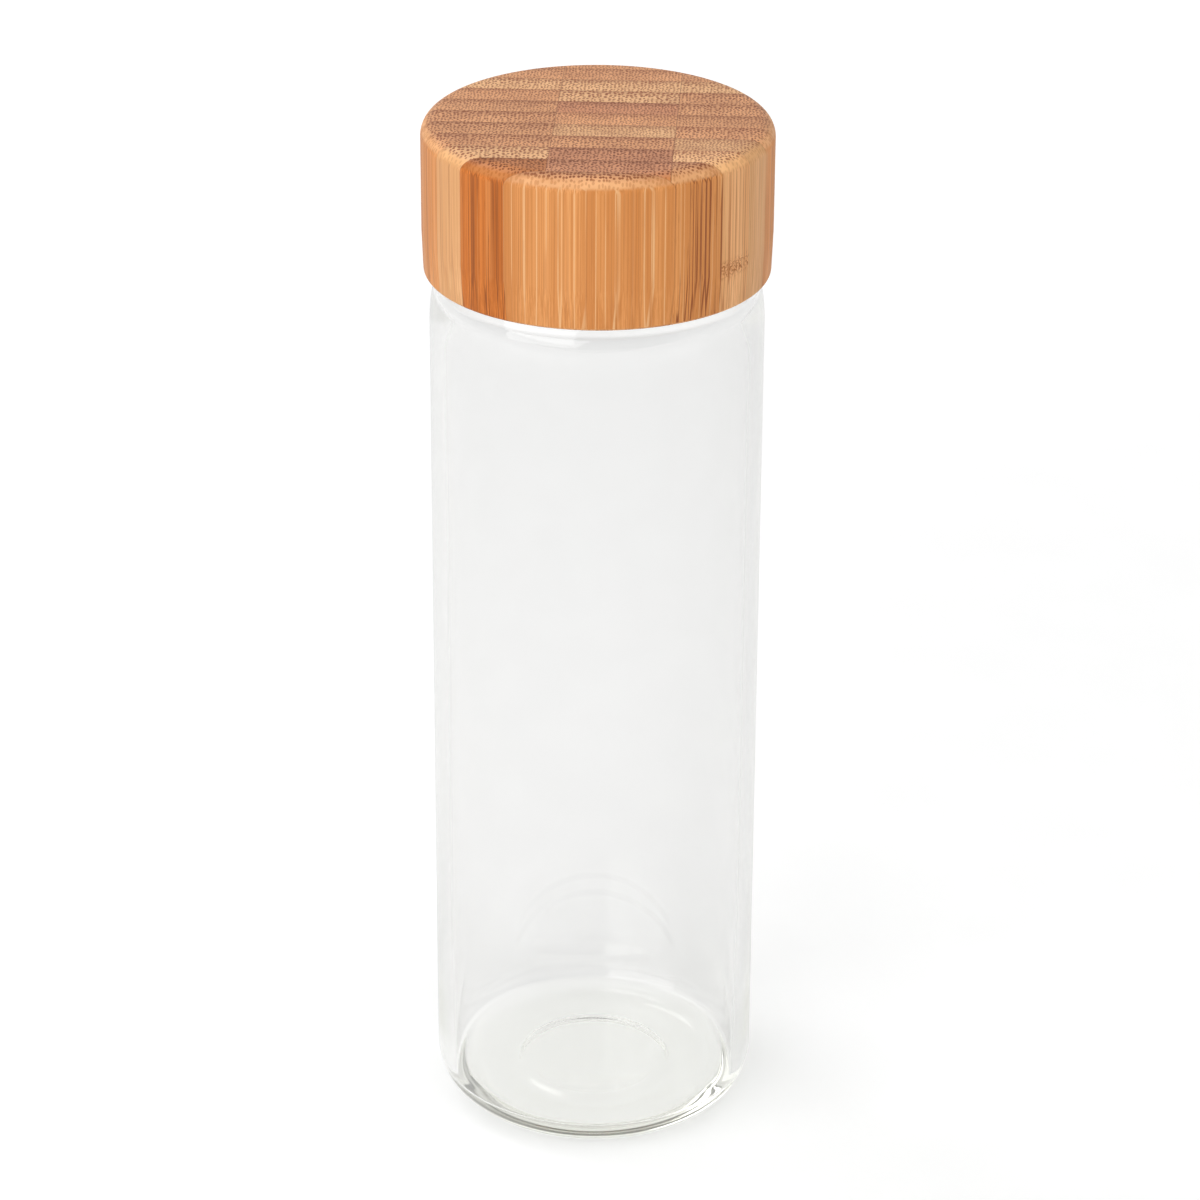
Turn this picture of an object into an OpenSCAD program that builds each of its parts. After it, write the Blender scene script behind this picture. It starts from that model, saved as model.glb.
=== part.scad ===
// Lidded glass canister: a tall moulded glass body with a threaded neck, closed by a screw lid.
// The lid is a block of laminated bamboo, turned outside and bored underneath. A moulded thread
// liner is glued into the bore, and a flat seal ring lies between the liner and the rim.
// The canister stands on Z = 0 with its mouth towards +Z. The closed lid is at its lowest point.

/* [Glass body] */
// Outer diameter of the straight side
body_d = 70; // [62:0.5:90]
// Height at which the shoulder starts to turn inwards
shoulder_z = 184; // [120:1:260]
// Thickness of the side wall
side_wall = 3.3; // [2.2:0.1:4.5]
// Radius of the heel, where the side turns under
heel_r = 11; // [6:0.5:14]
// Radius of the long upper curve of the shoulder
shoulder_r = 40; // [30:1:60]
// Radius of the tight curve between the shoulder and the neck
shoulder_edge_r = 5; // [4:0.5:7]

/* [Glass base] */
// Thickness of the base beside the central rise
base_t = 7; // [5:0.5:10]
// Radius between the inner floor and the inner wall
floor_edge_r = 1; // [1:0.5:6]
// Height of the rise in the middle of the inner floor
rise_h = 2.2; // [1:0.1:4]
// Diameter of the flat top of that rise
rise_d = 18; // [10:1:30]
// Diameter at which that rise meets the flat of the inner floor
rise_foot_d = 56; // [40:1:58]
// Depth of the hollow under the base
punt_h = 0.8; // [0.4:0.1:2]
// Diameter of the flat top of that hollow
punt_d = 27; // [16:1:30]
// Diameter at which that hollow meets the ring that the body stands on
punt_foot_d = 36; // [34:1:46]

/* [Neck and thread] */
// Outer diameter of the neck between the thread's turns
neck_d = 58.6; // [54:0.1:60]
// Diameter of the mouth
mouth_d = 52.6; // [44:0.1:53]
// Height of the neck above the shoulder
neck_h = 18.5; // [17:0.5:24]
// Radius of the rim's inner and outer edges
rim_edge_r = 0.9; // [0.4:0.1:1.2]
// Rise of the thread in one turn
thread_lead = 4.2; // [3.8:0.1:5]
// Height of the thread above the neck
thread_h = 1.7; // [1.2:0.1:2]
// Width of the thread at its foot
thread_foot_w = 2; // [1.4:0.1:2.2]
// Width of the thread at its crest
thread_crest_w = 0.9; // [0.6:0.1:1.2]
// Distance from the rim down to the middle of the thread's upper end
thread_drop = 4.2; // [3.8:0.1:5]
// Number of turns of the thread on the neck
thread_turns = 1.4; // [1.1:0.1:1.6]

/* [Thread liner and seal] */
// Thickness of the liner's skirt
liner_wall = 1.7; // [1.2:0.1:2.2]
// Thickness of the liner's top
liner_top = 1.5; // [1:0.1:2.5]
// Thickness of the seal ring
seal_t = 1.8; // [1.2:0.1:3]
// Radial width of the seal ring
seal_w = 4.6; // [3.5:0.1:5]
// Height of the liner's rib that keeps the seal ring centred
rib_h = 1.2; // [0.6:0.1:1.8]
// Thickness of that rib
rib_t = 1; // [0.6:0.1:1.5]
// Number of turns of the liner's own thread
liner_turns = 1.2; // [0.8:0.1:1.4]

/* [Bamboo lid] */
// Thickness of the wood around the liner
lid_wall = 3.1; // [2.4:0.1:6]
// Thickness of the wood over the liner
lid_top = 8; // [5:0.5:14]
// Radius of the lid's upper edge
top_edge_r = 3.4; // [1.5:0.1:4.5]
// Radius of the lid's lower edge
lower_edge_r = 0.7; // [0.3:0.1:1.2]
// How far the side draws in towards the lower edge
lower_taper = 0.3; // [0:0.1:0.6]
// Height over which it draws in
lower_taper_h = 9; // [5:0.5:14]
// Thickness of one laminated strip
strip_d = 7; // [5:0.5:10]
// Width of one laminated strip
strip_w = 24.9; // [16:0.1:30]
// Distance from the lid's axis to the nearest joint between rows
row_joint = 2.9; // [0:0.1:5]
// Distance from the lid's axis to the joint on its left
column_joint = 8.7; // [2:0.1:14]
// Angle of the rows to the X axis
row_turn = 3; // [0:1:45]

/* [Clearances] */
// Radial clearance between the two threads
thread_gap = 0.5; // [0.3:0.05:0.8]
// Clearance between the flanks of the two threads
flank_gap = 0.3; // [0.2:0.05:0.5]
// Gap above and below the seal ring
seal_gap = 0.15; // [0.1:0.05:0.3]
// Gap between the lid's lower edge and the shoulder below it
skirt_gap = 0.5; // [0.3:0.1:3]
// Glue line between the liner's skirt and the wood
glue_gap = 0.1; // [0:0.05:0.3]

/* [Hidden] */
$fn = 128;

// Shoulder: a long arc and a tight arc that meet in a common tangent, and the neck that rises from them.
body_r = body_d / 2;
neck_r = neck_d / 2;
mouth_r = mouth_d / 2;
shoulder_c = [body_r - shoulder_r, shoulder_z];
edge_inset = 0.5;                             // the tight arc levels out this far inside the neck
edge_c_r = neck_r - edge_inset;
edge_share = 0.85;                            // most of the step to the side that the tight arc takes
edge_r = min(shoulder_edge_r, edge_share * (body_r - edge_c_r));
turn_a = acos((edge_c_r - shoulder_c[0]) / (shoulder_r - edge_r));
edge_c = shoulder_c + (shoulder_r - edge_r) * dir(turn_a);
shoulder_top = edge_c[1] + edge_r;
rim_z = shoulder_top + neck_h;
rim_share = 0.45;                             // most of the neck's wall that one edge of the rim takes

// Inside of the body: the wall turns in under the shoulder and out again into the neck, in two arcs
// that meet in a common tangent.
cavity_r = body_r - side_wall;
inner_r = 6;                                  // radius of the arc under the shoulder
throat_r = 4;                                 // radius of the arc into the neck
inner_a = acos(1 - (cavity_r - mouth_r) / (inner_r + throat_r));
inner_rise = (inner_r + throat_r) * sin(inner_a);
inner_c = [cavity_r - inner_r, shoulder_top - inner_rise];
throat_c = [mouth_r + throat_r, shoulder_top];
rise_foot_r = min(rise_foot_d / 2, cavity_r - floor_edge_r);
punt_foot_r = min(punt_foot_d / 2, body_r - heel_r);
foot_dip = 0.05;                                // how far the feet of the rise and the hollow run under the flat
spill = 1;                                    // degrees by which a cut runs past an edge that it shares

// Threads: the liner's ridge lies just under the neck's ridge, so it pulls the lid down.
thread_r = neck_r + thread_h;
root = 0.4;                                   // how far a ridge is rooted in its wall
liner_r = thread_r + thread_gap;              // inside of the liner's skirt
liner_crest_r = neck_r + thread_gap;
thread_end_z = rim_z - thread_drop;
thread_start_z = thread_end_z - thread_turns * thread_lead;
ridge_step = (thread_foot_w + thread_crest_w) / 2 + flank_gap;
liner_lead_in = 0.5;                          // turns of liner thread below the neck thread's start
liner_start_z = thread_start_z - ridge_step - liner_lead_in * thread_lead;
run_out = 30;                                 // degrees over which a ridge rises out of its wall
ridge_stations = 48;                          // per turn

// Seal ring, liner top and rib, stacked on the rim.
seal_z = rim_z + seal_gap;
ceiling_z = seal_z + seal_t + seal_gap;
liner_top_z = ceiling_z + liner_top;
liner_outer_r = liner_r + liner_wall;
seal_r = (mouth_r + neck_r) / 2;              // middle of the ring, over the middle of the rim
seal_edge_r = 0.4;

// Lid: bored for the liner, and lowered to just above the shoulder.
bore_r = liner_outer_r + glue_gap;
lid_r = bore_r + lid_wall;
lid_z = shoulder_at(min(bore_r, body_r)) + skirt_gap;
lid_top_z = liner_top_z + lid_top;
skirt_inset = 2;                              // the liner ends at least this far inside the lid
skirt_z = max(lid_z + skirt_inset, shoulder_top);

// Laminate: each text is a row of strips, from the back one to the front one, and each letter a strip
// from left to right: l for a light, m for a medium and d for a dark one. A dash is a corner of the
// block that the turning takes down to a shaving, where the middle strip goes on to the edge.
laminate = ["mm-", "mmm", "lll", "mlm", "mdm", "mmm", "mlm", "mml", "ldl", "ddm", "-m-"];
shades = [["l", "#deae80"], ["m", "#c78f63"], ["d", "#a9714c"]];
shaving = 1;                                  // a strip thinner than this stays part of the next one
joints_behind = floor((lid_r - shaving - row_joint) / strip_d) + 1;
joints_ahead = floor((lid_r - shaving + row_joint) / strip_d);
rows = joints_behind + joints_ahead + 1;
clear = 1;                                    // how far a cut runs out of the wood
far = lid_r + clear;
columns = ["left", "middle", "right"];
column_edges = [-far, -column_joint, strip_w - column_joint, far];

function dir(a) = [cos(a), sin(a)];
// Height of the shoulder's surface at a radius
function shoulder_at(r) =
    r > edge_c[0] + edge_r * cos(turn_a)
    ? shoulder_c[1] + sqrt(pow(shoulder_r, 2) - pow(r - shoulder_c[0], 2))
    : edge_c[1] + sqrt(pow(edge_r, 2) - pow(r - edge_c[0], 2));

// The joint in front of a row, and how deep a strip reaches into the lid from its joints
function row_joint_y(row) = row_joint + (joints_behind - row) * strip_d;
function row_back(row) = row == 1 ? far : row_joint_y(row - 1);
function row_front(row) = row == rows ? -far : row_joint_y(row);
function strip_depth(row, col) = let (
    side = [column_joint, 0, strip_w - column_joint][col],
    inner = max(0, row_front(row), -row_back(row))
) sqrt(max(0, pow(lid_r, 2) - pow(side, 2))) - inner;
function shade(row, col) = laminate[(row - 1) % len(laminate)][col];
function has_strip(row, col) = shade(row, col) != "-" && strip_depth(row, col) > shaving;
function strip_name(row, col) = str("lid_strip_", row, "_", columns[col]);
function strip_left(row, col) = col == 1 && !has_strip(row, 0) ? -far : column_edges[col];
function strip_right(row, col) = col == 1 && !has_strip(row, 2) ? far : column_edges[col + 1];

// A sector of a disc: centre, radius, first and last angle
module pie(c, r, a0, a1) {
    reach = 2 * r;
    intersection() {
        translate(c) circle(r);
        polygon([c, c + reach * dir(a0), c + reach * dir((a0 + a1) / 2), c + reach * dir(a1)]);
    }
}

// A rectangle from one corner to the other, with rounded corners
module rounded_box(low, high, r) {
    translate([low[0] + r, low[1]]) square([high[0] - low[0] - 2 * r, high[1] - low[1]]);
    translate([low[0], low[1] + r]) square([high[0] - low[0], high[1] - low[1] - 2 * r]);
    pie([high[0] - r, high[1] - r], r, 0, 90);
    pie([low[0] + r, high[1] - r], r, 90, 180);
    pie([low[0] + r, low[1] + r], r, 180, 270);
    pie([high[0] - r, low[1] + r], r, 270, 360);
}

// Half of a round plateau's outline: a flat top of one radius, and sides that fall in a slack S to
// another
module plateau(top_r, foot_r, z, h) {
    slope_a = 2 * atan(h / (foot_r - top_r));
    arc_r = h / 2 / (1 - cos(slope_a));
    half_w = (foot_r - top_r) / 2;
    translate([0, z]) square([top_r, h]);
    intersection() {
        translate([top_r, z + h - arc_r]) circle(arc_r);
        translate([top_r, z]) square([half_w, h]);
    }
    difference() {
        translate([top_r + half_w, z]) square([half_w, h / 2]);
        translate([foot_r, z + arc_r]) circle(arc_r);
    }
}

// Half of the body's outer outline, closed on the axis
module outer_outline() {
    square([body_r - heel_r, heel_r]);
    pie([body_r - heel_r, heel_r], heel_r, -90, 0);
    translate([0, heel_r]) square([body_r, shoulder_z - heel_r]);
    intersection() {
        pie(shoulder_c, shoulder_r, 0, turn_a);
        translate([0, shoulder_z]) square([body_r, shoulder_r]);
    }
    polygon([[0, shoulder_z], edge_c + edge_r * dir(turn_a), edge_c, [edge_c[0], shoulder_top],
             [0, shoulder_top]]);
    pie(edge_c, edge_r, turn_a, 90);
}

// Half of the cavity's outline, from the inner floor to above the rim
module cavity_outline() {
    floor_z = base_t + floor_edge_r;
    translate([0, base_t]) square([cavity_r - floor_edge_r, floor_edge_r]);
    pie([cavity_r - floor_edge_r, floor_z], floor_edge_r, -90, 0);
    translate([0, floor_z]) square([cavity_r, inner_c[1] - floor_z]);
    pie(inner_c, inner_r, 0, inner_a);
    difference() {
        polygon([[0, inner_c[1]], inner_c, throat_c, [0, throat_c[1]]]);
        pie(throat_c, throat_r, 180, 180 + inner_a + spill);
    }
    translate([0, throat_c[1]]) square([mouth_r, rim_z + clear - throat_c[1]]);
}

// A helical ridge, rooted in a wall at one radius and crested at another, inwards or outwards.
// It rises out of the wall at one end and sinks back into it at the other.
module ridge(wall_r, crest_r, z, start_a, turns, foot_w, crest_w) {
    way = sign(crest_r - wall_r);
    count = round(turns * ridge_stations);
    foot_r = wall_r - way * root;
    function fade(i) = min(1, min(i, count - i) * 360 / ridge_stations / run_out);
    function crest_at(i) = wall_r - way * root / 2 + (crest_r - wall_r + way * root / 2) * fade(i);
    function station(i) = let (
        a = start_a + i * 360 / ridge_stations,
        zi = z + i * thread_lead / ridge_stations,
        at = function (r, h) [r * cos(a), r * sin(a), zi + h]
    ) [at(foot_r, -foot_w / 2), at(crest_at(i), -crest_w / 2), at(crest_at(i), crest_w / 2),
       at(foot_r, foot_w / 2)];
    points = [for (i = [0:count]) each station(i)];
    sides = [for (i = [0:count - 1]) for (j = [0:3]) let (
        a = 4 * i + j, b = 4 * i + (j + 1) % 4
    ) each [[a, b, a + 4], [b, b + 4, a + 4]]];
    last = 4 * count;
    faces = concat(sides, [[0, 2, 1], [0, 3, 2], [last, last + 1, last + 2], [last, last + 2, last + 3]]);
    polyhedron(points, [for (f = faces) way > 0 ? f : [f[2], f[1], f[0]]]);
}

// The body, its neck and its thread: one piece of moulded glass
module glass_canister() {
    color([0.86, 0.9, 0.88, 0.35]) {
        rotate_extrude() difference() {
            union() {
                outer_outline();
                rounded_neck();
            }
            difference() {
                cavity_outline();
                plateau(rise_d / 2, rise_foot_r, base_t - foot_dip, rise_h + foot_dip);
            }
            plateau(punt_d / 2, punt_foot_r, -foot_dip, punt_h + foot_dip);
        }
        ridge(neck_r, thread_r, thread_start_z, 0, thread_turns, thread_foot_w, thread_crest_w);
    }
}

// Half of the neck's outline, with rounded edges at the rim
module rounded_neck() {
    rim_r = min(rim_edge_r, rim_share * (neck_r - mouth_r));
    edge_z = rim_z - rim_r;
    translate([0, shoulder_z]) square([neck_r, edge_z - shoulder_z]);
    translate([mouth_r + rim_r, edge_z]) square([neck_r - mouth_r - 2 * rim_r, rim_r]);
    pie([neck_r - rim_r, edge_z], rim_r, 0, 90);
    pie([mouth_r + rim_r, edge_z], rim_r, 90, 180);
}

// The moulded cup inside the lid: a skirt with the lid's thread, a top, and a rib for the seal ring
module thread_liner() {
    rib_r = seal_r - seal_w / 2 - seal_gap;
    color([0.93, 0.93, 0.9]) {
        rotate_extrude() {
            translate([liner_r, skirt_z]) square([liner_wall, liner_top_z - skirt_z]);
            translate([0, ceiling_z]) square([liner_r, liner_top]);
            translate([rib_r - rib_t, ceiling_z - rib_h]) square([rib_t, rib_h]);
        }
        ridge(liner_r, liner_crest_r, liner_start_z, -360 * liner_lead_in, liner_turns,
              thread_foot_w, thread_crest_w);
    }
}

// The flat ring that seals the rim
module seal_ring() {
    color([0.95, 0.95, 0.94])
        rotate_extrude()
            rounded_box([seal_r - seal_w / 2, seal_z], [seal_r + seal_w / 2, seal_z + seal_t], seal_edge_r);
}

// Half of the turned and bored lid's outline
module lid_outline() {
    lower_r = lid_r - lower_taper;
    taper_z = lid_z + lower_taper_h;
    difference() {
        union() {
            translate([0, lid_z]) square([lower_r - lower_edge_r, lower_edge_r]);
            pie([lower_r - lower_edge_r, lid_z + lower_edge_r], lower_edge_r, -90, 0);
            polygon([[0, lid_z + lower_edge_r], [lower_r, lid_z + lower_edge_r], [lid_r, taper_z], [0, taper_z]]);
            translate([0, taper_z]) square([lid_r, lid_top_z - top_edge_r - taper_z]);
            translate([0, lid_top_z - top_edge_r]) square([lid_r - top_edge_r, top_edge_r]);
            pie([lid_r - top_edge_r, lid_top_z - top_edge_r], top_edge_r, 0, 90);
        }
        translate([0, lid_z - clear]) square([bore_r, liner_top_z - lid_z + clear]);
    }
}

// One strip of the laminated block, cut by the turning and by the bore
module lid_strip(row, col) {
    left = strip_left(row, col);
    front = row_front(row);
    color(shades[search(shade(row, col), shades)[0]][1])
        intersection() {
            rotate_extrude() lid_outline();
            rotate([0, 0, -row_turn])
                translate([left, front, lid_z - clear])
                    cube([strip_right(row, col) - left, row_back(row) - front,
                          lid_top_z - lid_z + 2 * clear]);
        }
}

glass_canister();
thread_liner();
seal_ring();
for (row = [1:rows]) for (col = [0:2])
    if (has_strip(row, col))
        lid_strip(row, col);
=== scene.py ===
"""Looks of the lidded glass canister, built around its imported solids.

Every size is in millimetres in the part's own frame: +Z up, the base on Z = 0. A mesh is turned to
metres when it is finished. The camera looks along +Y, so -Y is the front and +X is the right.
"""

import logging
import math
from dataclasses import dataclass
from enum import Enum
from typing import Any, NamedTuple

import bmesh
import bpy
from mathutils import Matrix, Vector


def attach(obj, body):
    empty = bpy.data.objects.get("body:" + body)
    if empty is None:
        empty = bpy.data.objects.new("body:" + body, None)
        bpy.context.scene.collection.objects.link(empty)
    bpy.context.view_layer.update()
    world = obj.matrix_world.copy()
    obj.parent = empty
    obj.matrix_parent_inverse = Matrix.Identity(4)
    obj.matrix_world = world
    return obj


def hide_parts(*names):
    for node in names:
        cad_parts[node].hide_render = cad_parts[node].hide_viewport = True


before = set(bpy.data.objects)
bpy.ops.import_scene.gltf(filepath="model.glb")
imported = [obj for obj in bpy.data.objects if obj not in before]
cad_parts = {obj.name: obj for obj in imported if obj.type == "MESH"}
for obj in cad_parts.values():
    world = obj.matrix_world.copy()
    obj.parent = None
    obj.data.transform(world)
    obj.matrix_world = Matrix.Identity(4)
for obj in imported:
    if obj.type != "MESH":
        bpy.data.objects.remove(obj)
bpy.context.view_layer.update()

MM = 0.001
ON_AXIS = 1e-4  # millimetres within which points on the axis are one
ON_WALL = 0.01  # millimetres within which a point belongs to a threaded wall
ON_CUT = 1e-5  # millimetres within which a point lies on a slat's border
LAPS = range(-2, 4)  # laps of a thread that can pass a place on its wall
QUARTER = 90.0
WHITE = (1.0, 1.0, 1.0, 1.0)
SMOOTHLY = {"interpolation_type": "SMOOTHSTEP"}
IN_COLOUR = {"data_type": "RGBA"}
SHARE, UNDER, OVER, MIXED = 0, 6, 7, 2  # a Mix node's sockets when it mixes colours
Inputs = dict[str | int, Any]
Socket = bpy.types.NodeSocket
log = logging.getLogger("canister")


# ---------------------------------------------------------------- colours and nodes


def linear(hex_colour: str) -> tuple[float, float, float, float]:
    """Turns an sRGB hex colour to linear light.

    Args:
        hex_colour: Six hex digits after a hash sign.

    Returns:
        Red, green, blue and an alpha of 1.
    """
    parts = [int(hex_colour[i : i + 2], 16) / 255 for i in (1, 3, 5)]
    light = [c / 12.92 if c <= 0.04045 else ((c + 0.055) / 1.055) ** 2.4 for c in parts]
    return light[0], light[1], light[2], 1.0


class Nodes:
    """The node tree of a material or of the world."""

    def __init__(self, owner: bpy.types.Material | bpy.types.World) -> None:
        """Clears the owner's tree, ready for new nodes.

        Args:
            owner: The material or the world.
        """
        owner.use_nodes = True
        self.owner = owner
        self.tree = owner.node_tree
        self.tree.nodes.clear()

    def add(self, kind: str, *values: Any, inputs: Inputs | None = None, **settings: Any) -> Any:
        """Adds a node with its settings and links.

        Args:
            kind: The node's type, without the ShaderNode that its name starts with.
            values: Numbers, colours or other nodes' outputs for its first inputs, in order.
            inputs: The same for any other inputs, by name or number.
            settings: The node's own properties.

        Returns:
            The node's outputs.
        """
        node = self.tree.nodes.new(f"ShaderNode{kind}")
        for name, value in settings.items():
            setattr(node, name, value)
        for key, value in [*enumerate(values), *(inputs or {}).items()]:
            if isinstance(value, Socket):
                self.tree.links.new(value, node.inputs[key])
            else:
                node.inputs[key].default_value = value
        return node.outputs


class Step(NamedTuple):
    """A step of a value, in the order of a Map Range node's inputs: low up to start, high from end on."""

    start: float
    end: float
    low: float = 0.0
    high: float = 1.0


@dataclass(frozen=True)
class Grain:
    """A noise over a place, with its number of waves per unit of that place along each axis."""

    scale: tuple[float, float, float]
    detail: float = 2.0
    roughness: float = 0.5
    distortion: float = 0.0

    def over(self, m: Nodes, place: Socket) -> Any:
        """Adds the grain over a place.

        Args:
            m: The material's nodes.
            place: The place.

        Returns:
            The outputs: the grain's value, about 0.5 on average, and its colour.
        """
        scaled = m.add("Mapping", inputs={"Vector": place, "Scale": self.scale})[0]
        look = {"Detail": self.detail, "Roughness": self.roughness, "Distortion": self.distortion}
        return m.add("TexNoise", inputs={"Vector": scaled, "Scale": 1.0, **look})


def grain_of(size_mm: float, detail: float) -> Grain:
    """Gives an even grain whose waves have a real size, for a place in metres."""
    return Grain((1 / (size_mm * MM),) * 3, detail)


# ---------------------------------------------------------------- turned shapes


def on_circle(degrees: float) -> Vector:
    """Gives the unit vector in the XZ plane at an angle from +X towards +Z."""
    angle = math.radians(degrees)
    return Vector((math.cos(angle), 0.0, math.sin(angle)))


class Outline:
    """Half of a turned piece's outline, drawn in the XZ plane as one chain of edges.

    Each stretch goes on from the tip of the last one.
    """

    def __init__(self, radius: float, height: float) -> None:
        """Starts the chain at a radius and a height."""
        self.bm = bmesh.new()
        self.tip = self.bm.verts.new((radius, 0.0, height))

    def line(self, radius: float, height: float, steps: int = 1) -> "Outline":
        """Draws a straight stretch.

        Args:
            radius: Radius of its end.
            height: Height of its end.
            steps: Number of equal edges.

        Returns:
            The outline itself.
        """
        step = (Vector((radius, 0.0, height)) - self.tip.co) / steps
        for _ in range(steps):
            self.tip = bmesh.ops.extrude_vert_indiv(self.bm, verts=[self.tip])["verts"][0]
            bmesh.ops.translate(self.bm, verts=[self.tip], vec=step)
        return self

    def arc(self, centre: tuple[float, float], degrees: float, steps: int) -> "Outline":
        """Draws an arc.

        Args:
            centre: Radius and height of its centre.
            degrees: How far it turns, positive from +X towards +Z.
            steps: Number of equal edges.

        Returns:
            The outline itself.
        """
        spun = bmesh.ops.spin(
            self.bm,
            geom=[self.tip],
            cent=(centre[0], 0.0, centre[1]),
            axis=(0.0, -1.0, 0.0),
            angle=math.radians(degrees),
            steps=steps,
        )
        self.tip = next(g for g in spun["geom_last"] if isinstance(g, bmesh.types.BMVert))
        return self

    def turned(self, steps: int) -> bmesh.types.BMesh:
        """Turns the outline once round the Z axis.

        Args:
            steps: Number of facets round the axis.

        Returns:
            A closed mesh whose faces point outwards.
        """
        bmesh.ops.spin(
            self.bm,
            geom=self.bm.verts[:] + self.bm.edges[:],
            cent=(0.0, 0.0, 0.0),
            axis=(0.0, 0.0, 1.0),
            angle=math.tau,
            steps=steps,
            use_merge=True,
        )
        bmesh.ops.remove_doubles(self.bm, verts=self.bm.verts[:], dist=ON_AXIS)
        bmesh.ops.dissolve_degenerate(self.bm, edges=self.bm.edges[:], dist=ON_AXIS)
        bmesh.ops.recalc_face_normals(self.bm, faces=self.bm.faces[:])
        return self.bm


@dataclass(frozen=True)
class HelixRidge:
    """A screw thread's ridge on a round wall."""

    wall_r: float
    height: float  # negative on a wall that faces the axis
    start_z: float
    start_turn: float
    turns: float
    lead: float = 4.2
    foot_w: float = 2.0
    crest_w: float = 0.9
    run_out: float = 1 / 12  # of a turn over which it rises and sinks back

    def rise(self, turn: float, z: float) -> float:
        """Gives how far the ridge stands out of its wall.

        Args:
            turn: Place round the axis, from 0 to 1.
            z: Height.

        Returns:
            The distance from the wall, along the radius.
        """
        best = 0.0
        for lap in LAPS:
            along = turn - self.start_turn + lap
            if not 0.0 <= along <= self.turns:
                continue
            away = abs(z - self.start_z - along * self.lead)
            flank = (self.foot_w / 2 - away) / ((self.foot_w - self.crest_w) / 2)
            fade = min(1.0, along / self.run_out, (self.turns - along) / self.run_out)
            best = max(best, max(0.0, min(1.0, flank)) * fade)
        return best * self.height

    def raise_on(self, bm: bmesh.types.BMesh) -> None:
        """Moves the wall's points out to the ridge.

        Args:
            bm: The turned piece, in millimetres.
        """
        for vert in bm.verts:
            radius = math.hypot(vert.co.x, vert.co.y)
            if abs(radius - self.wall_r) < ON_WALL:
                turn = math.atan2(vert.co.y, vert.co.x) / math.tau % 1.0
                share = 1.0 + self.rise(turn, vert.co.z) / radius
                vert.co.x *= share
                vert.co.y *= share


def finished(
    bm: bmesh.types.BMesh, name: str, material: bpy.types.Material, sharp: float
) -> bpy.types.Object:
    """Makes an object in metres of a mesh in millimetres.

    Args:
        bm: The mesh, which is freed.
        name: The object's name.
        material: Its material.
        sharp: Angle in degrees over which an edge stays sharp.

    Returns:
        The object, at the origin.
    """
    bmesh.ops.transform(bm, matrix=Matrix.Scale(MM, 4), verts=bm.verts[:])
    mesh = bpy.data.meshes.new(name)
    bm.to_mesh(mesh)
    bm.free()
    mesh.shade_smooth()
    mesh.set_sharp_from_angle(angle=math.radians(sharp))
    mesh.materials.append(material)
    piece = bpy.data.objects.new(name, mesh)
    bpy.context.scene.collection.objects.link(piece)
    return piece


def place(piece: bpy.types.Object, body: str, slot: str, node: str) -> None:
    """Lets a piece ride on a body, in the place of a CAD node, and reports it.

    Args:
        piece: The piece.
        body: The body that carries it.
        slot: The record's material slot; not used.
        node: The CAD node that it stands for.
    """
    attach(piece, body)
    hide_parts(node)
    log.info("%s: %d faces, for %s, on %s", piece.name, len(piece.data.polygons), node, body)


# ---------------------------------------------------------------- glass


@dataclass(frozen=True)
class SodaLimeGlass:
    """Soda-lime glass, blown in a mould and fire-polished.

    It is clear, with a faint green-grey in its depth, and its surface waves a little.
    """

    tint: str = "#c9cab0"
    density: float = 8.0  # how fast the tint takes over, per metre
    ior: float = 1.52
    shadow: str = "#dddedb"
    waves: Grain = grain_of(40.0, detail=1.0)
    wave_depth: float = 0.02
    inner_turns: int = 4  # reflections after which light leaves the wall

    def material(self) -> bpy.types.Material:
        """Builds the material.

        Returns:
            The material.
        """
        m = Nodes(bpy.data.materials.new("soda_lime_glass"))
        waves = self.waves.over(m, m.add("TexCoord")["Object"])[0]
        glass = m.add(
            "BsdfPrincipled",
            inputs={
                "Base Color": WHITE,
                "Roughness": 0.0,
                "IOR": self.ior,
                "Transmission Weight": 1.0,
                "Normal": m.add("Bump", inputs={"Height": waves, "Distance": self.wave_depth * MM})[0],
            },
        )[0]
        path = m.add("LightPath")
        # Light that runs on inside the wall is let out, and lamps shine through with a soft shadow.
        trapped = m.add("Math", path["Glossy Depth"], self.inner_turns - 0.5, operation="GREATER_THAN")[0]
        clear = m.add("BsdfTransparent", WHITE)[0]
        shaded = m.add("BsdfTransparent", linear(self.shadow))[0]
        seen = m.add("MixShader", trapped, glass, clear)[0]
        surface = m.add("MixShader", path["Is Shadow Ray"], seen, shaded)[0]
        depth = m.add("VolumeAbsorption", linear(self.tint), self.density)[0]
        m.add("OutputMaterial", surface, depth)
        return m.owner


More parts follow.
